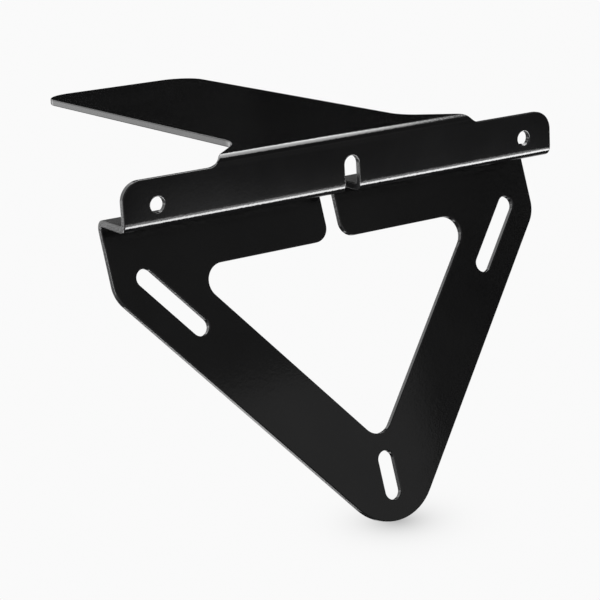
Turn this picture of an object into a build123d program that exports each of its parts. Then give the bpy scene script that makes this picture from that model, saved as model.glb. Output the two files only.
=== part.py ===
"""Tail tidy: a motorbike's number plate bracket, folded from one sheet of coated steel.

Millimetres. X runs along the strip, Y points forward along the bike and Z is up.
The origin is on the strip's rear face, midway between the two ear holes.
"""
import os
from math import cos, pi, radians, sin, tan

from build123d import *

# Sheet: 2.5 mm steel, measured over its thin powder coat
sheet = 2.5
bend_inside = 1.0

# Strip across the back of the tail, with an ear at each end
overall_width = 180.0
strip_height = 20.8
ear_corner_radius = 7.0
ear_hole_inset = 12.75
ear_hole_diameter = 5.5
ear_hole_height = 8.2

# Top plate, which goes under the tail, and the slanted edges that widen it to the strip
top_width = 71.2
top_length = 179.7
top_corner_radius = 13.0
neck_width = 109.4
neck_angle = 45.0
neck_radius = 5.0
flare_radius = 17.0

# Ledge under the strip, and the number plate carrier that hangs from it
ledge_depth = 18.3
carrier_lean = 17.9
carrier_side = 24.6
carrier_slope = 39.25
carrier_arm = 25.2
carrier_side_radius = 12.0
carrier_tip_radius = 20.0
window_top = 19.5
window_radius = 6.5

# Slots for the number plate's screws
slot_width = 6.6
side_slot_drop = 29.7
side_slot_length = 32.4
tip_slot_margin = 7.55
tip_slot_length = 18.0

# Cable slot, from the strip down into the window
cable_slot_width = 6.1
cable_slot_height = 13.2
cable_mouth_radius = 5.5

# Bends: outer and middle radius, and the length of the middle line round the top bend
bend_outside = bend_inside + sheet
bend_middle = bend_inside + sheet / 2
top_bend_length = bend_middle * pi / 2

# Heights in the part's frame
ledge_under = -ear_hole_height
ledge_bend_top = ledge_under + bend_outside
top_face = ledge_under + strip_height
bend_line = top_face - bend_outside

# Half widths, and where the slanted neck edge crosses the top bend
half_width = overall_width / 2
ear_hole_spacing = overall_width - 2 * ear_hole_inset
half_top = top_width / 2
neck_step = tan(radians(neck_angle))
neck_edge = neck_width / 2 - top_bend_length / neck_step
neck_end = neck_width / 2 + neck_radius * tan(radians(neck_angle / 2))
flare_corner = bend_outside + (neck_edge - half_top) * neck_step

# Carrier's own plane: x along the strip, y up the sheet, from the ledge's underside
lean = radians(carrier_lean)
carrier_plane = Plane(
    origin=(0, ledge_depth, ledge_under),
    x_dir=(1, 0, 0),
    z_dir=(0, -cos(lean), sin(lean)),
)
rear_bend_reach = bend_inside * tan((pi / 2 + lean) / 2)

# Carrier's slanted edges, as the drop at which each line parallel to them reaches the middle
slope = radians(carrier_slope)
carrier_apex = carrier_side + half_width / tan(slope)
window_apex = carrier_apex - carrier_arm / sin(slope)
window_half_top = (window_apex - window_top) * tan(slope)
slot_apex = carrier_apex - carrier_arm / 2 / sin(slope)
side_slot_place = (slot_apex - side_slot_drop) * tan(slope)
carrier_tip = carrier_apex - carrier_tip_radius * (1 / sin(slope) - 1)
tip_slot_drop = carrier_tip - tip_slot_margin - tip_slot_length / 2

# Cable slot: its own cut goes further down the carrier than the start of the window's cut
half_slot = cable_slot_width / 2
window_cut_start = window_top / 3
cable_cut_end = window_top / 2

# Cutter for the neck: the slanted edge and its fillet, wound round the top bend
neck_fillet_steps = 6
cutter_reach = 2 * bend_outside
cutter_far_angle = radians(135)


def bend_point(angle):
    """A point of the cutter at an angle round the top bend, from the strip's side."""
    return (bend_outside - cutter_reach * cos(angle), bend_line + cutter_reach * sin(angle))


def neck_stations():
    """Places across the neck, each with the edge's height above the bend line."""
    for step in range(neck_fillet_steps + 1):
        turn = radians(neck_angle) * step / neck_fillet_steps
        yield neck_end - neck_radius * sin(turn), neck_radius * (1 - cos(turn))
    yield neck_edge, top_bend_length


with BuildPart() as neck_waste:
    for across, rise in neck_stations():
        edge_angle = rise / bend_middle
        with BuildSketch(Plane.YZ.offset(across)):
            with BuildLine():
                Polyline(
                    (bend_outside, bend_line),
                    bend_point(edge_angle),
                    bend_point((edge_angle + cutter_far_angle) / 2),
                    bend_point(cutter_far_angle),
                    close=True,
                )
            make_face()
    loft(ruled=True)
    mirror(about=Plane.YZ)

with BuildPart() as bracket:
    # Top bend, as wide as the neck, with the waste beside the neck taken away
    with BuildSketch(Plane.YZ):
        with BuildLine():
            CenterArc((bend_outside, bend_line), bend_middle, 180, -90)
        trace(line_width=sheet)
    extrude(amount=neck_end, both=True)
    add(neck_waste.part, mode=Mode.SUBTRACT)

    # Top plate
    with BuildSketch(Plane.XY.offset(top_face)):
        with BuildLine():
            FilletPolyline(
                (0, bend_outside),
                (neck_edge, bend_outside),
                (half_top, flare_corner),
                (half_top, top_length),
                (0, top_length),
                radius=(0, flare_radius, top_corner_radius),
            )
            mirror(about=Plane.YZ)
        make_face()
    extrude(amount=-sheet)

    # Strip and its ears, which end where the top bend begins
    with BuildSketch(Plane.XZ):
        with BuildLine():
            FilletPolyline(
                (0, ledge_bend_top),
                (half_width, ledge_bend_top),
                (half_width, bend_line),
                (0, bend_line),
                radius=(0, ear_corner_radius),
            )
            mirror(about=Plane.YZ)
        make_face()
    extrude(amount=-sheet)

    # Ledge with the bend at each of its edges
    with BuildSketch(Plane.YZ):
        with BuildLine():
            front = CenterArc((bend_outside, ledge_bend_top), bend_middle, 180, 90)
            rear = CenterArc(
                (ledge_depth - rear_bend_reach, ledge_under - bend_inside),
                bend_middle,
                90,
                -90 - carrier_lean,
            )
            Line(front @ 1, rear @ 0)
        trace(line_width=sheet)
    extrude(amount=half_width, both=True)

    # Number plate carrier
    with BuildSketch(carrier_plane):
        with BuildLine():
            FilletPolyline(
                (-half_width, -rear_bend_reach),
                (half_width, -rear_bend_reach),
                (half_width, -carrier_side),
                (0, -carrier_apex),
                (-half_width, -carrier_side),
                radius=(0, 0, carrier_side_radius, carrier_tip_radius, carrier_side_radius),
                close=True,
            )
        make_face()
    extrude(amount=-sheet)

    # Window, with the cable slot's mouth in its top edge
    with BuildSketch(carrier_plane):
        with BuildLine():
            FilletPolyline(
                (-half_slot, -window_cut_start),
                (half_slot, -window_cut_start),
                (half_slot, -window_top),
                (window_half_top, -window_top),
                (0, -window_apex),
                (-window_half_top, -window_top),
                (-half_slot, -window_top),
                radius=(0, 0, cable_mouth_radius) + 3 * (window_radius,) + (cable_mouth_radius,),
                close=True,
            )
        make_face()
    extrude(amount=-sheet, mode=Mode.SUBTRACT)

    # Cable slot through the strip, the ledge and the top of the carrier
    with BuildSketch(Plane.XZ):
        with Locations((0, ledge_under + cable_slot_height - half_slot)):
            Circle(half_slot)
            Rectangle(cable_slot_width, cable_slot_height + cable_cut_end, align=(Align.CENTER, Align.MAX))
    extrude(amount=-(ledge_depth + bend_outside), mode=Mode.SUBTRACT)

    # Slots for the number plate's screws
    with BuildSketch(carrier_plane):
        for side in (1, -1):
            with Locations((side * side_slot_place, -side_slot_drop)):
                SlotOverall(side_slot_length, slot_width, rotation=90 - side * carrier_slope)
        with Locations((0, -tip_slot_drop)):
            SlotOverall(tip_slot_length, slot_width, rotation=90)
    extrude(amount=-sheet, mode=Mode.SUBTRACT)

    # Ear holes
    with BuildSketch(Plane.XZ):
        with GridLocations(ear_hole_spacing, 0, 2, 1):
            Circle(ear_hole_diameter / 2)
    extrude(amount=-sheet, mode=Mode.SUBTRACT)

bracket.part.label = "bracket"
os.makedirs("parts", exist_ok=True)
export_step(bracket.part, "parts/bracket.step")
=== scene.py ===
# %% [markdown]
# # A folded number plate bracket
# A tail tidy carries a motorbike's number plate under the end of its tail. This one is a single sheet of steel: cut
# flat, folded three times on a press brake and coated satin black. The lesson follows the workshop. It plans the folds,
# cuts the flat sheet, rounds its edges, folds it, coats it and puts it on a pale table.
#
# The imported model comes first, because it fixes where everything is. Its box is kept, and the table is set at its
# lowest point.

import bpy
import numpy as np
from mathutils import Matrix, Vector
from mathutils.geometry import delaunay_2d_cdt


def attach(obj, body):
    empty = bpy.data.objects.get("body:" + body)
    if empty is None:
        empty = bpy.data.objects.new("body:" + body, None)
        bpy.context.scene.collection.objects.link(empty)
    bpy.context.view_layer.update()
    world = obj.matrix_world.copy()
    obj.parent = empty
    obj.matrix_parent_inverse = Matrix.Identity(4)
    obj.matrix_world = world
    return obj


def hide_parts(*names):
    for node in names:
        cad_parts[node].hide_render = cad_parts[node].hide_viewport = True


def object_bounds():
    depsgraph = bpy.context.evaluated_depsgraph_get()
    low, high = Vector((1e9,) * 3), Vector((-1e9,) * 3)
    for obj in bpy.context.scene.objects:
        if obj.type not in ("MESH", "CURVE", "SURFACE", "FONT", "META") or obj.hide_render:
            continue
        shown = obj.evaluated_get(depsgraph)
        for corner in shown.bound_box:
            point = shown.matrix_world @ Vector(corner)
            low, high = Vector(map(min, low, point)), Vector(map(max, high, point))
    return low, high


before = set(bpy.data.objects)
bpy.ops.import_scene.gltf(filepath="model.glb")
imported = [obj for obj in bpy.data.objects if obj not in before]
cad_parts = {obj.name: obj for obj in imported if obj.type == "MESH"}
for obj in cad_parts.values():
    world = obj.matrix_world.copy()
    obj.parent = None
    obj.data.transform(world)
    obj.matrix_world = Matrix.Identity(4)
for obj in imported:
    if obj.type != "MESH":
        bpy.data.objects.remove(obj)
cad_box = [list(corner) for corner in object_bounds()]
mm = 0.001
print("CAD box, mm:", np.round(np.array(cad_box) / mm, 2).tolist())

# %% [markdown]
# ## The folds
# A press brake turns the sheet round a small radius, and the line along the middle of its thickness keeps its length.
# So the whole bracket, seen from the side, is one line: the top plate, the strip, the ledge and the leaning carrier,
# with a bend between each two. A real bend isn't a plain arc. It is tightest in its middle and eases into the flats,
# which is why light fades softly along it.
#
# The folds could be made with bevelled boxes or a Simple Deform modifier. Here one formula carries any point of the
# flat sheet to its place, so every hole and edge that crosses a bend goes round it exactly, as it does in the real
# sheet. The folds are planned before the cuts, because the flat sheet's length follows from them.

# %% Sizes of the folds, in millimetres
sheet, bend_outside = 2.5, 3.5
half_sheet = sheet / 2
strip_height, ear_hole_height = 20.8, 8.2
top_length, ledge_depth = 179.7, 18.3
carrier_lean = np.radians(17.9)

# Heights above the ear holes
top_face = strip_height - ear_hole_height
ear_top = top_face - bend_outside

# The top bend, the bottom bend and the carrier's bend
bend_turn = np.array([np.pi / 2, np.pi / 2, -np.pi / 2 - carrier_lean])
bend_length = np.array([7.5, 6.0, 7.1])
bend_lead = np.array([1.6, 1.0, 1.0])
print("bends turn, degrees:", np.round(np.degrees(bend_turn), 1).tolist())


# %% How a bend turns
def eased(share):
    """The part of each bend's turn that is done after a share u of its length.
    It is w - sin(2 pi w) / (2 pi), where w is u to the power of the bend's lead. A lead over 1 draws out the start, as
    on the top plate, which lies against the brake's flat bed."""
    led = share ** bend_lead
    return led - np.sin(2 * np.pi * led) / (2 * np.pi)


bend_samples = 2000
turned = bend_turn * eased((np.arange(bend_samples)[:, None] + 0.5) / bend_samples)
ahead, aside = np.cos(turned).mean(0), np.sin(turned).mean(0)
reach_before = bend_length * (ahead - aside / np.tan(bend_turn))
reach_after = bend_length * aside / np.sin(bend_turn)
print("from each bend's start to its corner, mm:", np.round(reach_before, 2).tolist())
print("from each corner to its bend's end, mm:", np.round(reach_after, 2).tolist())

# %% Runs of the sheet, flat and bent in turn, along the middle line
# The ledge and the carrier are measured to the corner of their inner faces. The middle line's corner lies beyond it.
inner_corner = half_sheet * np.tan(-bend_turn[2] / 2)
carrier_run = 150.0
corner_gaps = np.array([
    top_length - half_sheet,
    strip_height - sheet,
    ledge_depth + inner_corner - half_sheet,
    carrier_run,
])
flats = corner_gaps - np.append(reach_before, 0) - np.append(0, reach_after)
runs = np.empty(len(flats) + len(bend_length))
runs[::2], runs[1::2] = flats, bend_length

# Lengths along the sheet are counted from the ears' upper edge
strip_begin = ear_top - (top_face - half_sheet - reach_after[0])
run_end = np.cumsum(runs) - runs[:2].sum() + strip_begin
run_start = run_end - runs
bend_start = run_start[1::2]
carrier_zero = run_start[-1] + inner_corner - reach_after[2]
print("runs, mm:", np.round(runs, 2).tolist())


# %% From the flat sheet to the folded one
def heading(v):
    """The middle line's direction at a length v: backwards along the top plate, plus the turn of every bend so far."""
    share = np.clip((np.asarray(v)[..., None] - bend_start) / bend_length, 0, 1)
    return np.pi + (eased(share) * bend_turn).sum(-1)


walk_points = 60001
walk = np.linspace(run_start[0], run_end[-1], walk_points)
walk_step = walk[1] - walk[0]
walk_heading = heading(walk[:-1] + walk_step / 2)
line_y = top_length + walk_step * np.concatenate([[0], np.cumsum(np.cos(walk_heading))])
line_z = top_face - half_sheet + walk_step * np.concatenate([[0], np.cumsum(np.sin(walk_heading))])


def fold(x, v, height):
    """A point of the flat sheet, folded, in metres. x is across the sheet, v along it and height is above its middle.
    Its place on the middle line is the sum of all small steps up to v, and the height goes square to the line there."""
    angle = heading(v)
    y = np.interp(v, walk, line_y) + height * np.sin(angle)
    z = np.interp(v, walk, line_z) - height * np.cos(angle)
    return mm * np.stack([x, y, z], -1)


def fold_direction(across, along, up, v):
    """A direction on the flat sheet, turned with the sheet: parts across it, along it and out of its rear side."""
    angle = heading(v)
    y = along * np.cos(angle) + up * np.sin(angle)
    z = along * np.sin(angle) - up * np.cos(angle)
    return np.stack([across, y, z], -1)


ear_hole_place = 77.25
ear_hole = fold(np.array(ear_hole_place), np.array(ear_top), half_sheet)
print("ear hole's centre comes to, mm:", np.round(ear_hole / mm, 3).tolist())

# %% [markdown]
# ## The flat sheet
# A laser cuts the outline, the window with its cable slot, the three screw slots and the two ear holes out of flat
# steel. Each of these is a polygon with rounded corners: a slot is a rectangle whose corners meet, and a round hole is
# a square whose four corners meet. One helper therefore draws every cut.
#
# Curves with a bevel could draw them too, but the points are wanted as arrays, with the direction out of the sheet at
# each.

# %% Rounded loops
# Points closer than this, in millimetres, count as one
same_point = 1e-6


def rounded_loop(corners, radii, hole=True, arc_steps=18):
    """Points of a closed polygon with rounded corners, and the direction out of the sheet at each point.
    A corner's arc starts radius x tan(half the turn) before the corner, and its direction turns evenly along it."""
    corners = np.asarray(corners, float)
    radii = np.broadcast_to(np.asarray(radii, float), len(corners))
    following = np.roll(corners, -1, 0)
    twice_area = np.sum(corners[:, 0] * following[:, 1] - following[:, 0] * corners[:, 1])
    if (twice_area > 0) == hole:
        corners, radii = corners[::-1], radii[::-1]
    into = corners - np.roll(corners, 1, 0)
    into = into / np.linalg.norm(into, axis=1, keepdims=True)
    out = np.roll(into, -1, 0)
    turn = np.arctan2(into[:, 0] * out[:, 1] - into[:, 1] * out[:, 0], (into * out).sum(1))
    begin = corners - into * (radii * np.tan(np.abs(turn) / 2))[:, None]
    signed_radius = (np.sign(turn) * radii)[:, None]
    centre = begin + signed_radius * np.stack([-into[:, 1], into[:, 0]], -1)
    angle = np.arctan2(into[:, 1], into[:, 0])[:, None] + turn[:, None] * np.linspace(0, 1, arc_steps + 1)
    outward = np.stack([np.sin(angle), -np.cos(angle)], -1)
    points = centre[:, None] + signed_radius[:, None] * outward
    points, outward = points.reshape(-1, 2), outward.reshape(-1, 2)
    apart = np.linalg.norm(points - np.roll(points, 1, 0), axis=1) > same_point
    return points[apart], outward[apart]


def slot_loop(centre, length, width, tilt=0.0):
    """A slot round a centre, tilted in the sheet's plane: a rectangle whose corners are rounded by half its width."""
    box = np.array([[-1, -1], [1, -1], [1, 1], [-1, 1]]) / 2 * (width, length)
    tilted = box @ np.array([[np.cos(tilt), np.sin(tilt)], [-np.sin(tilt), np.cos(tilt)]])
    return rounded_loop(np.asarray(centre) + tilted, width / 2)


ear_hole_diameter = 5.5
ear_holes = [slot_loop((side * ear_hole_place, ear_top), ear_hole_diameter, ear_hole_diameter) for side in (1, -1)]
print("points on each ear hole:", [len(points) for points, outward in ear_holes])

# %% Sizes of the other cuts, in millimetres
half_width, half_top, half_neck = 90.0, 35.6, 54.7
neck_radius, flare_radius, top_corner_radius, ear_radius = 5.0, 17.0, 13.0, 7.0
flare_reach = 19.066
flare_corner = run_start[0] + top_length - flare_reach

carrier_slope, carrier_side, carrier_arm = np.radians(39.25), 24.6, 25.2
side_radius, tip_radius = 12.0, 20.0
carrier_apex = carrier_side + half_width / np.tan(carrier_slope)
carrier_tip = carrier_apex - tip_radius * (1 / np.sin(carrier_slope) - 1)

window_top, window_apex = 19.5, carrier_apex - carrier_arm / np.sin(carrier_slope)
half_window = (window_apex - window_top) * np.tan(carrier_slope)
window_radius, mouth_radius = 6.5, 5.5
half_cable, cable_slot_height = 3.05, 13.2
cable_end = ear_top + ear_hole_height - cable_slot_height

slot_width, side_slot_length, side_slot_drop = 6.6, 32.4, 29.7
side_slot_place = (carrier_apex - carrier_arm / 2 / np.sin(carrier_slope) - side_slot_drop) * np.tan(carrier_slope)
tip_slot_length, tip_slot_margin = 18.0, 7.55
tip_slot_drop = carrier_tip - tip_slot_margin - tip_slot_length / 2
print("carrier's tip, mm down its own plane:", round(carrier_tip, 2), "half the window:", round(half_window, 2))


# %% Corners of the outline and the window, each with its radius
def on_carrier(x, drop):
    """A place on the flat sheet from a drop down the carrier's own plane."""
    return x, carrier_zero + drop


outline = [
    ((half_neck, 0), neck_radius),
    ((half_top, flare_corner), flare_radius),
    ((half_top, run_start[0]), top_corner_radius),
    ((-half_top, run_start[0]), top_corner_radius),
    ((-half_top, flare_corner), flare_radius),
    ((-half_neck, 0), neck_radius),
    ((-half_width, 0), ear_radius),
    (on_carrier(-half_width, carrier_side), side_radius),
    (on_carrier(0, carrier_apex), tip_radius),
    (on_carrier(half_width, carrier_side), side_radius),
    ((half_width, 0), ear_radius),
]
window = [
    ((half_cable, cable_end), half_cable),
    (on_carrier(half_cable, window_top), mouth_radius),
    (on_carrier(half_window, window_top), window_radius),
    (on_carrier(0, window_apex), window_radius),
    (on_carrier(-half_window, window_top), window_radius),
    (on_carrier(-half_cable, window_top), mouth_radius),
    ((-half_cable, cable_end), half_cable),
]
print("corners of the outline and the window:", len(outline), len(window))

# %% All the cuts
cuts = [
    rounded_loop(*zip(*outline), hole=False),
    rounded_loop(*zip(*window)),
    slot_loop(on_carrier(side_slot_place, side_slot_drop), side_slot_length, slot_width, carrier_slope),
    slot_loop(on_carrier(-side_slot_place, side_slot_drop), side_slot_length, slot_width, -carrier_slope),
    slot_loop(on_carrier(0, tip_slot_drop), tip_slot_length, slot_width),
    *ear_holes,
]
print("points on each cut:", [len(points) for points, outward in cuts])

# %% [markdown]
# ## Points on the sheet
# Coated steel has no knife edges: the coat rounds them, and that rounding catches the light as a thin bright line. So
# each face of the sheet ends a little inside its cut, and a rounded edge will join the two faces.
#
# A bend needs rows of points close together, while a flat needs few. A Remesh modifier would spread them evenly and
# blur the cuts, so they are placed row by row. The rows across each bend are called stations here, and every cut gets a
# point where it crosses one, so that the face and the edge share their points and stay closed.

# %% Stations across the bends, and places along a cut
bend_rows = 25
stations = (bend_start[:, None] + bend_length[:, None] * np.linspace(0, 1, bend_rows)).ravel()
spacing, station_gap = 6.0, 0.2

# A side that rises less than this is level, and a crossing this close to a side's end is left to the end itself
level_rise, side_end = 1e-9, 1e-4


def even_places(points, following):
    """Places at even steps along a loop, each as its side's number plus a share of that side.
    A place close to a station is left out, unless it is one of the loop's own points."""
    steps = np.ceil(np.linalg.norm(following - points, axis=1) / spacing).astype(int)
    side = np.repeat(np.arange(len(points)), steps)
    share = (np.arange(len(side)) - np.repeat(np.cumsum(steps) - steps, steps)) / steps[side]
    level = points[side, 1] + share * (following - points)[side, 1]
    clear = np.abs(level[:, None] - stations).min(1) > station_gap
    return (side + share)[clear | (share == 0)]


def crossing_places(points, following):
    """Places where a loop crosses a station: (station - start) / rise is the share of the side, if it is inside it."""
    rise = (following - points)[:, 1:]
    share = (stations - points[:, 1:]) / np.where(np.abs(rise) < level_rise, np.inf, rise)
    side, station = np.nonzero((share > side_end) & (share < 1 - side_end))
    return side + share[side, station]


print("stations:", len(stations), "in 3 bends, closest rows, mm:", round(np.diff(stations).min(), 2))

# %% The cuts with points at each crossing
edge_round = 0.4


def with_crossings(points, outward):
    """A loop moved into the sheet by the edge's rounding, with more points: at even steps and at every station.
    A place part way along a side mixes the side's two ends by its share."""
    points = points - edge_round * outward
    following, following_outward = np.roll(points, -1, 0), np.roll(outward, -1, 0)
    places = np.concatenate([even_places(points, following), crossing_places(points, following)])
    places = np.unique(np.round(places, 9))
    side = np.minimum(places.astype(int), len(points) - 1)
    share = (places - side)[:, None]
    mixed = outward[side] * (1 - share) + following_outward[side] * share
    mixed = mixed / np.linalg.norm(mixed, axis=1, keepdims=True)
    return points[side] * (1 - share) + following[side] * share, mixed


loops = [with_crossings(*cut) for cut in cuts]
rim_points, rim_outward = (np.concatenate(arrays) for arrays in zip(*loops))
loop_size = np.array([len(points) for points, outward in loops])
loop_start = np.cumsum(loop_size) - loop_size
rim_ids = np.arange(len(rim_points))
rim_next = rim_ids + 1
rim_next[loop_start + loop_size - 1] = loop_start
print("points round the cuts:", len(rim_points))


# %% Which points lie on the sheet
def on_sheet(points):
    """True where a point lies inside the outline and outside every hole.
    A ray from such a point to the right crosses an odd number of edges."""
    start, end = rim_points, rim_points[rim_next]
    x, v = points[:, :1], points[:, 1:]
    spans = (start[:, 1] > v) != (end[:, 1] > v)
    rise = np.where(start[:, 1] == end[:, 1], 1, end[:, 1] - start[:, 1])
    edge_x = start[:, 0] + (v - start[:, 1]) / rise * (end[:, 0] - start[:, 0])
    return (spans & (x < edge_x)).sum(1) % 2 == 1


rim_gap = 1.5
flat_rows = [
    np.linspace(start, end, int((end - start) / spacing) + 2)[1:-1]
    for start, end in zip(run_start[::2], run_end[::2])
]
rows = np.concatenate([stations, *flat_rows])
side_columns = int(half_width / spacing)
columns = np.arange(-side_columns, side_columns + 1) * spacing
lattice = np.stack(np.meshgrid(columns, rows), -1).reshape(-1, 2)
lattice = lattice[on_sheet(lattice)]
lattice = lattice[np.linalg.norm(lattice[:, None] - rim_points, axis=2).min(1) > rim_gap]
print("points inside the sheet:", len(lattice))

# %% [markdown]
# ## The net of triangles
# The points are joined so that no other point lies in the circle round a triangle, which keeps the triangles as even
# as the points allow. The Fill tool would join them too, but with long thin triangles. The cuts and the stations are
# lines that no triangle may cross, so a triangle never bridges a bend. Those outside the sheet are thrown away.

# %% Join the points
station_end = 100.0
station_ends = np.concatenate([
    np.stack([np.full(len(stations), side * station_end), stations], -1) for side in (-1, 1)
])
flat_points = np.concatenate([rim_points, lattice, station_ends])
face_count = len(rim_points) + len(lattice)
station_ids = face_count + np.arange(len(stations))
lines = np.concatenate([
    np.stack([rim_ids, rim_next], -1),
    np.stack([station_ids, station_ids + len(stations)], -1),
])
net = delaunay_2d_cdt(flat_points.tolist(), lines.tolist(), [], 0, same_point)
net_points, triangles = np.array(net[0]), np.array(net[2])
print("triangles, with those outside the sheet:", len(triangles))

# %% Keep the triangles on the sheet, all turned the same way
# The net's points come back slightly rounded, and a triangle of less than this area is a sliver
net_rounding, sliver_area = 1e-4, 1e-4
kept_order = len(net_points) == len(flat_points) and np.allclose(net_points, flat_points, atol=net_rounding)
triangles = triangles[on_sheet(net_points[triangles].mean(1))]
first, second, third = (net_points[triangles[:, corner]] for corner in range(3))
one_side, other_side = second - first, third - first
area = (one_side[:, 0] * other_side[:, 1] - one_side[:, 1] * other_side[:, 0]) / 2
triangles[area < 0] = triangles[area < 0][:, ::-1]
triangles = triangles[np.abs(area) > sliver_area]
print("triangles:", len(triangles), "every point kept in order:", kept_order)

# %% [markdown]
# ## The two faces and the rounded edge
# The same net makes both faces, one half a thickness above the middle line and one below. The edge is a profile carried
# along each cut: a quarter round, the straight cut and another quarter round. Its first and last points are the faces'
# own.
#
# A Bevel modifier could round the edges, but it would also touch the rows across the bends. With the profile worked
# out, the direction of the surface at each point is known exactly too, and the large flats shade evenly.

# %% Profile of the edge, from one face to the other
arc_points = 5
arc = np.linspace(0, np.pi / 2, arc_points)
profile_side = np.concatenate([np.sin(arc), np.sin(arc[::-1])])
profile_up = np.concatenate([np.cos(arc), -np.cos(arc[::-1])])
profile_out = edge_round * profile_side
round_height = half_sheet - edge_round + edge_round * np.cos(arc)
profile_height = np.concatenate([round_height, -round_height[::-1]])
print("edge profile of", len(profile_out), "points, straight part, mm:", round(2 * round_height[-1], 2))

# %% Points and directions
inner = slice(1, -1)
edge_flat = rim_points[:, None] + rim_outward[:, None] * profile_out[inner, None]
edge_side = rim_outward[:, None] * profile_side[inner, None]
edge_x, edge_v = edge_flat[..., 0], edge_flat[..., 1]
edge_height, edge_up = (np.broadcast_to(rising[inner], edge_v.shape) for rising in (profile_height, profile_up))
edge_points = fold(edge_x, edge_v, edge_height)
edge_directions = fold_direction(edge_side[..., 0], edge_side[..., 1], edge_up, edge_v)

face_points = flat_points[:face_count]
face_x, face_v = face_points.T
zero = np.zeros(face_count)
mesh_points = np.concatenate([
    fold(face_x, face_v, half_sheet),
    fold(face_x, face_v, -half_sheet),
    edge_points.reshape(-1, 3),
])
mesh_directions = np.concatenate([
    fold_direction(zero, zero, zero + 1, face_v),
    fold_direction(zero, zero, zero - 1, face_v),
    edge_directions.reshape(-1, 3),
])
print("points:", len(mesh_points))

# %% Faces, all pointing outwards
ring = len(profile_out) - 2
edge_ids = 2 * face_count + rim_ids[:, None] * ring + np.arange(ring)
grid = np.column_stack([rim_ids, edge_ids, face_count + rim_ids])
quads = np.stack([grid[:, :-1], grid[rim_next, :-1], grid[rim_next, 1:], grid[:, 1:]], -1).reshape(-1, 4)
faces = triangles[:, ::-1].tolist() + (face_count + triangles).tolist() + quads.tolist()

bracket_mesh = bpy.data.meshes.new("folded_bracket")
bracket_mesh.from_pydata(mesh_points.tolist(), [], faces)
bracket_mesh.polygons.foreach_set("use_smooth", np.ones(len(faces), bool))
bracket_mesh.normals_split_custom_set_from_vertices(mesh_directions.tolist())
bracket = bpy.data.objects.new("folded_bracket", bracket_mesh)
bpy.context.scene.collection.objects.link(bracket)

corner_edges = np.zeros(len(bracket_mesh.loops), int)
bracket_mesh.loops.foreach_get("edge_index", corner_edges)
faces_per_edge = np.bincount(corner_edges)
print("faces:", len(faces), "every edge joins two faces:", bool((faces_per_edge == 2).all()))

# %% [markdown]
# ## Where the cut edge is
# The finish on a cut edge differs a little from the one on a face, so the mesh carries a mark, called cut_edge, that is
# 0 on the faces and 1 on the straight part of the edge. It could be painted by hand, but the profile knows it already.
# A map gives each point of an edge its length along the cut, for the fine lines that run along it, and each point of a
# face its place on the flat sheet.

# %% The mark and the map
cut_mark = np.concatenate([np.zeros(2 * face_count), np.tile(profile_side[inner], len(rim_points))])
bracket_mesh.attributes.new("cut_edge", "FLOAT", "POINT").data.foreach_set("value", cut_mark)

step_length = np.linalg.norm(rim_points[rim_next] - rim_points, axis=1)
walked = np.cumsum(step_length) - step_length
profile_steps = np.hypot(np.diff(profile_out, prepend=0), np.diff(profile_height, prepend=half_sheet))
profile_length = np.cumsum(profile_steps)
here = np.stack(np.broadcast_arrays(walked[:, None], profile_length), -1)
there = np.stack(np.broadcast_arrays((walked + step_length)[:, None], profile_length), -1)
quad_map = np.stack([here[:, :-1], there[:, :-1], there[:, 1:], here[:, 1:]], 2).reshape(-1, 2)
face_maps = [face_points[corners].reshape(-1, 2) for corners in (triangles[:, ::-1], triangles)]
sheet_map = np.concatenate([*face_maps, quad_map])
bracket_mesh.uv_layers.new(name="along_the_sheet").data.foreach_set("uv", (mm * sheet_map).ravel())
print("map covers, mm:", np.round(np.ptp(sheet_map, axis=0), 1).tolist())

# %% [markdown]
# ## Satin black powder coat
# Powder is sprayed on dry and baked, so it flows into a thin skin with a faint orange-peel wave and a fine grain that
# sparkles where light grazes it. A single flat black would look like plastic. The wave and the grain are noises on
# Object coordinates, so they hold still on the steel, and they go into the bump and the roughness. The cut edge is a
# little paler, where the coat pulls thin, with fine lines along it.

# %% Coat material
coat = bpy.data.materials.new("black_powder_coat")
coat.use_nodes = True
nodes, links = coat.node_tree.nodes, coat.node_tree.links
shader = nodes["Principled BSDF"]
shader.inputs["IOR"].default_value = 1.5
peel_scale, grain_scale, mottle_scale = 700, 1500, 45
smooth_grain, rough_grain = 0.1, 0.14


def noise(vector, scale, detail=2.0):
    """A Noise Texture node on a vector, with its scale in waves per metre."""
    node = nodes.new("ShaderNodeTexNoise")
    node.inputs["Scale"].default_value = scale
    node.inputs["Detail"].default_value = detail
    links.new(vector, node.inputs["Vector"])
    return node.outputs["Fac"]


def spread(value, low=0, high=1):
    """A Map Range node that takes a noise's middle, 0.3 to 0.7, to a range."""
    node = nodes.new("ShaderNodeMapRange")
    for name, number in (("From Min", 0.3), ("From Max", 0.7), ("To Min", low), ("To Max", high)):
        node.inputs[name].default_value = number
    links.new(value, node.inputs["Value"])
    return node.outputs["Result"]


steel_place = nodes.new("ShaderNodeTexCoord").outputs["Object"]
peel = noise(steel_place, peel_scale)
grain = noise(steel_place, grain_scale, detail=3.0)
mottle = noise(steel_place, mottle_scale, detail=4.0)
links.new(spread(grain, smooth_grain, rough_grain), shader.inputs["Roughness"])
print("waves per metre: peel", peel_scale, "grain", grain_scale, "mottle", mottle_scale)

# %% Fine lines along the cut edge
streak_scale, streak_stretch = 3000, (0.02, 1.0, 1.0)
along_map = nodes.new("ShaderNodeUVMap")
along_map.uv_map = "along_the_sheet"
stretch = nodes.new("ShaderNodeMapping")
stretch.inputs["Scale"].default_value = streak_stretch
links.new(along_map.outputs["UV"], stretch.inputs["Vector"])
streaks = noise(stretch.outputs["Vector"], streak_scale)

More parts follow.
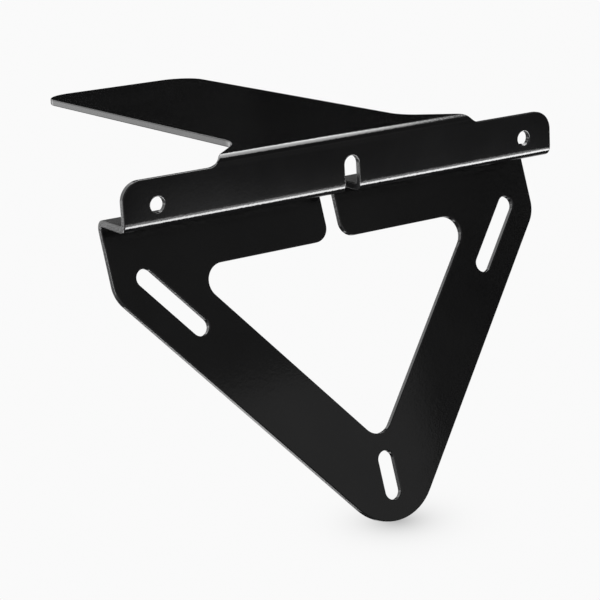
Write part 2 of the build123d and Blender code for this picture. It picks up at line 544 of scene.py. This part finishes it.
cut_edge = nodes.new("ShaderNodeAttribute")
cut_edge.attribute_name = "cut_edge"
print("lines are longer than wide by", round(streak_stretch[1] / streak_stretch[0]))


# %% Colour of the coat, paler along the cut edge
def mix_colour(factor, low, high):
    """A Mix node between two colours, or between two other mixes. Its colours are the sockets 6 and 7."""
    node = nodes.new("ShaderNodeMix")
    node.data_type = "RGBA"
    links.new(factor, node.inputs[0])
    for socket, colour in ((node.inputs[6], low), (node.inputs[7], high)):
        if isinstance(colour, tuple):
            socket.default_value = colour
        else:
            links.new(colour, socket)
    return node.outputs[2]


deep_black, soft_black = (0.0015, 0.0015, 0.0016, 1), (0.0028, 0.0028, 0.0029, 1)
dark_edge, pale_edge = (0.006, 0.006, 0.0063, 1), (0.016, 0.016, 0.0165, 1)
face_black = mix_colour(spread(mottle), deep_black, soft_black)
edge_grey = mix_colour(spread(streaks), dark_edge, pale_edge)
links.new(mix_colour(cut_edge.outputs["Fac"], face_black, edge_grey), shader.inputs["Base Color"])
print("colour from", len(nodes), "nodes so far")


# %% Wave and grain in the bump
def bump(height, strength, depth):
    """A Bump node on a noise, with its depth in metres."""
    node = nodes.new("ShaderNodeBump")
    node.inputs["Strength"].default_value = strength
    node.inputs["Distance"].default_value = depth
    links.new(height, node.inputs["Height"])
    return node


grain_bump = bump(grain, strength=0.6, depth=0.00006)
peel_bump = bump(peel, strength=0.2, depth=0.00012)
links.new(grain_bump.outputs["Normal"], peel_bump.inputs["Normal"])
links.new(peel_bump.outputs["Normal"], shader.inputs["Normal"])
bracket_mesh.materials.append(coat)
print("coat nodes:", len(nodes))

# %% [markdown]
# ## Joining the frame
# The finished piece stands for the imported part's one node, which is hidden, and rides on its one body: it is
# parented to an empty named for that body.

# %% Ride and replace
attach(bracket, "root")
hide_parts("bracket")
print("bracket's points and triangles:", len(mesh_points), 2 * len(triangles) + 2 * len(quads))

# %% [markdown]
# ## The table
# The bracket stands on the tip of its carrier. Under light from all around, a pale table shows no cast shadow, only a
# soft round shade where the tip comes close to it. A lit plane would give that with many samples. Here the table glows
# evenly and its shade is a formula of the distance d from the foot, exp(-(d / 10.5 mm) ^ 1.3), so it is smooth from
# every side.

# %% Table
table_half = 6.0
table_z = cad_box[0][2]
floor_corners = [(x * table_half, y * table_half, table_z) for x, y in ((-1, -1), (1, -1), (1, 1), (-1, 1))]
floor_mesh = bpy.data.meshes.new("table")
floor_mesh.from_pydata(floor_corners, [], [(0, 1, 2, 3)])
floor = bpy.data.objects.new("table", floor_mesh)
bpy.context.scene.collection.objects.link(floor)
floor.visible_glossy = False
floor.visible_shadow = False
foot = fold(np.array(0.0), np.array(carrier_zero + carrier_tip), -half_sheet)
print("table at, mm:", round(table_z / mm, 2), "foot at, mm:", np.round(foot / mm, 1).tolist())

# %% Distance from the foot, turned into a shade
pale_level, foot_level = 0.955, 0.47
shade_radius, shade_power = 0.0105, 1.3
pale = bpy.data.materials.new("pale_table")
pale.use_nodes = True
pale_nodes, pale_links = pale.node_tree.nodes, pale.node_tree.links
pale_nodes.remove(pale_nodes["Principled BSDF"])
away = pale_nodes.new("ShaderNodeVectorMath")
away.operation = "DISTANCE"
away.inputs[1].default_value = (foot[0], foot[1], table_z)
pale_links.new(pale_nodes.new("ShaderNodeTexCoord").outputs["Object"], away.inputs[0])
fade = away.outputs["Value"]
for operation, number in (("DIVIDE", shade_radius), ("POWER", shade_power), ("MULTIPLY", -1.0), ("EXPONENT", 0.0)):
    math_node = pale_nodes.new("ShaderNodeMath")
    math_node.operation = operation
    math_node.inputs[1].default_value = number
    pale_links.new(fade, math_node.inputs[0])
    fade = math_node.outputs["Value"]
print("shade's radius, mm:", round(shade_radius / mm, 1))

# %% Glow of the table
shade = pale_nodes.new("ShaderNodeMapRange")
shade.inputs["To Min"].default_value, shade.inputs["To Max"].default_value = pale_level, foot_level
glow = pale_nodes.new("ShaderNodeEmission")
pale_links.new(fade, shade.inputs["Value"])
pale_links.new(shade.outputs["Result"], glow.inputs["Color"])
pale_links.new(glow.outputs["Emission"], pale_nodes["Material Output"].inputs["Surface"])
floor_mesh.materials.append(pale)
print("table nodes:", len(pale_nodes))

# %% [markdown]
# ## Light for a black part
# Satin black shows little colour of its own. What is seen is the studio, mirrored, so each panel is placed where one
# piece of the sheet mirrors it. The flats mirror dim panels and stay nearly black. A bend turns through many directions
# and draws a bright panel out into a line: a high one for the top bend, and for the bottom bend a narrow card close
# under it, where the flat strip hardly sees it. A wider and dimmer card beside that one softens the line's upper side.
# Both are tilted away from the ledge, so that it stays dark underneath. Cut edges mirror panels behind, and small cards
# close by light the ledge and the left rim.
#
# A picture of a studio wrapped round the scene would be mirrored too, but panels can be moved one at a time. The even
# light of the world is kept out of the mirror, so only the panels draw lines. It is as pale as the table, so no horizon
# shows.

# %% Even light from all around
world = bpy.data.worlds.new("even_light")
world.use_nodes = True
background = world.node_tree.nodes["Background"]
background.inputs["Color"].default_value = (1, 1, 1, 1)
background.inputs["Strength"].default_value = pale_level
bpy.context.scene.world = world
world.cycles_visibility.glossy = False
print("world:", world.name)

# %% How a panel is placed
far = 1.5


def span(angle, distance):
    """The width of something that fills an angle in degrees at a distance: 2 x distance x tan(half the angle)."""
    return 2 * distance * np.tan(np.radians(angle / 2))


def panel(name, direction, width, height, radiance, distance=far, centre=(0, 0, 0)):
    """A soft rectangular light in a direction from a centre, with its width and height as angles in degrees.
    Its width lies along the strip as far as it can. Its power is 4 x radiance x area, as an area light spreads it.
    Distances are in metres."""
    direction = Vector(direction).normalized()
    across = (Vector((1, 0, 0)) - direction.x * direction).normalized()
    lamp = bpy.data.lights.new(name, "AREA")
    lamp.shape = "RECTANGLE"
    lamp.size, lamp.size_y = span(width, distance), span(height, distance)
    lamp.energy = 4 * radiance * lamp.size * lamp.size_y
    facing = Matrix((across, direction.cross(across), direction)).transposed().to_4x4()
    hung = bpy.data.objects.new(name, lamp)
    hung.matrix_world = Matrix.Translation(Vector(centre) + direction * distance) @ facing
    hung.visible_camera = False
    bpy.context.scene.collection.objects.link(hung)


print("40 degrees at a far panel's distance, mm:", round(span(40, far) / mm))

# %% Panels that the bends and flats mirror
# Each has its name, its direction, its width and height in degrees, and its radiance
panel("high_panel", (0.259, 0.476, 0.841), 44, 59, 3.5)
panel("bend_card", (0, 0.4, -0.917), 124, 9.8, 13.0, distance=0.05, centre=(0.004, -0.0259, 0.0337))
panel("fall_card", (0, 0.25, -0.968), 124, 29.2, 2.4, distance=0.05, centre=(0.014, -0.0349, 0.0312))
panel("front_high", (0.51, -0.42, 0.75), 40, 60, 0.08)
panel("front_wide", (0.32, -0.92, 0.225), 40, 38, 0.13)
panel("front_strip", (0.51, -0.8345, -0.208), 40, 12, 0.07)
panel("tip_card", (0.42, -0.88, 0.2), 41, 36, 0.18, distance=0.137, centre=(-0.015, -0.012, -0.105))
print("panels for the bends and flats:", len(bpy.data.lights))

# %% Panels that the cut edges and the ledge mirror
panel("far_table", (-0.45, 0.88, -0.12), 50, 11, 1.6)
panel("near_table", (-0.42, 0.83, -0.36), 50, 18, 0.3)
panel("table_behind", (-0.075, 0.70, -0.71), 8, 34, 1.5)
panel("rear_high", (-0.20, 0.93, 0.30), 46, 34, 1.0)
panel("ledge_card", (0, 0.98, 0.2), 93, 10, 0.15, distance=0.055, centre=(-0.012, 0.010, -0.0057))
panel("edge_card", (-0.90, 0.40, -0.22), 33, 62, 5.0, distance=0.02, centre=(-0.09, 0.012, -0.023))
print("with the edges' panels:", len(bpy.data.lights))

# %% [markdown]
# ## Fill for the other sides
# The panels above serve one point of view. From behind or from the right the sheet would mirror nothing and turn into a
# hole in the picture. A world seen in the mirror would fill it, but would lift every black at once. So a few dim panels
# stand all round, as reflector boards do in a studio.

# %% Fill panels
panel("front_fill", (-0.15, -0.94, 0.30), 50, 50, 0.25)
panel("side_fill", (-0.87, -0.43, -0.22), 60, 40, 0.5)
panel("right_fill", (0.80, -0.55, 0.22), 20, 24, 0.2)
panel("high_right_fill", (0.76, 0.36, 0.54), 36, 40, 0.4)
panel("rear_right_fill", (0.72, 0.55, -0.42), 50, 40, 0.5)
panel("rear_left_fill", (-0.78, 0.45, -0.43), 40, 40, 0.4)
panel("far_fill", (0.36, 0.92, 0.13), 16, 12, 0.005)
print("panels in all:", len(bpy.data.lights))

# %% [markdown]
# ## The camera
# A picture's angle can be found by eye, or worked out from lines that are known to be level or upright. This camera was
# worked out from the sheet's own edges: it stands behind the bike, to the left and a little above the strip, and it is
# turned a few degrees about its own axis.

# %% Directions of the camera
azimuth, elevation, roll = np.radians(-31.88), np.radians(15.16), np.radians(-3.34)
back = np.array([np.sin(azimuth) * np.cos(elevation), -np.cos(azimuth) * np.cos(elevation), np.sin(elevation)])
level_right = np.array([np.cos(azimuth), np.sin(azimuth), 0.0])
level_up = np.cross(back, level_right)
right = level_right * np.cos(roll) + level_up * np.sin(roll)
up = level_up * np.cos(roll) - level_right * np.sin(roll)
print("camera looks along:", np.round(-back, 3).tolist())

# %% Camera at the photograph's angle
camera_distance, camera_target = 0.61795, np.array([-0.0247, 0.00007, -0.0425])
sensor_width, focal_pixels, image_pixels = 36.0, 1771.28, 600
camera_data = bpy.data.cameras.new("camera")
camera_data.sensor_width, camera_data.lens = sensor_width, sensor_width * focal_pixels / image_pixels
camera_data.clip_start, camera_data.clip_end = 0.01, 50.0
camera = bpy.data.objects.new("camera", camera_data)
pose = np.eye(4)
pose[:3] = np.column_stack([right, up, back, camera_target + camera_distance * back])
camera.matrix_world = Matrix(pose.tolist())
bpy.context.scene.collection.objects.link(camera)
bpy.context.scene.camera = camera
bpy.context.scene.view_settings.view_transform = "Standard"
print("camera at, mm:", np.round(pose[:3, 3] / mm, 1).tolist())
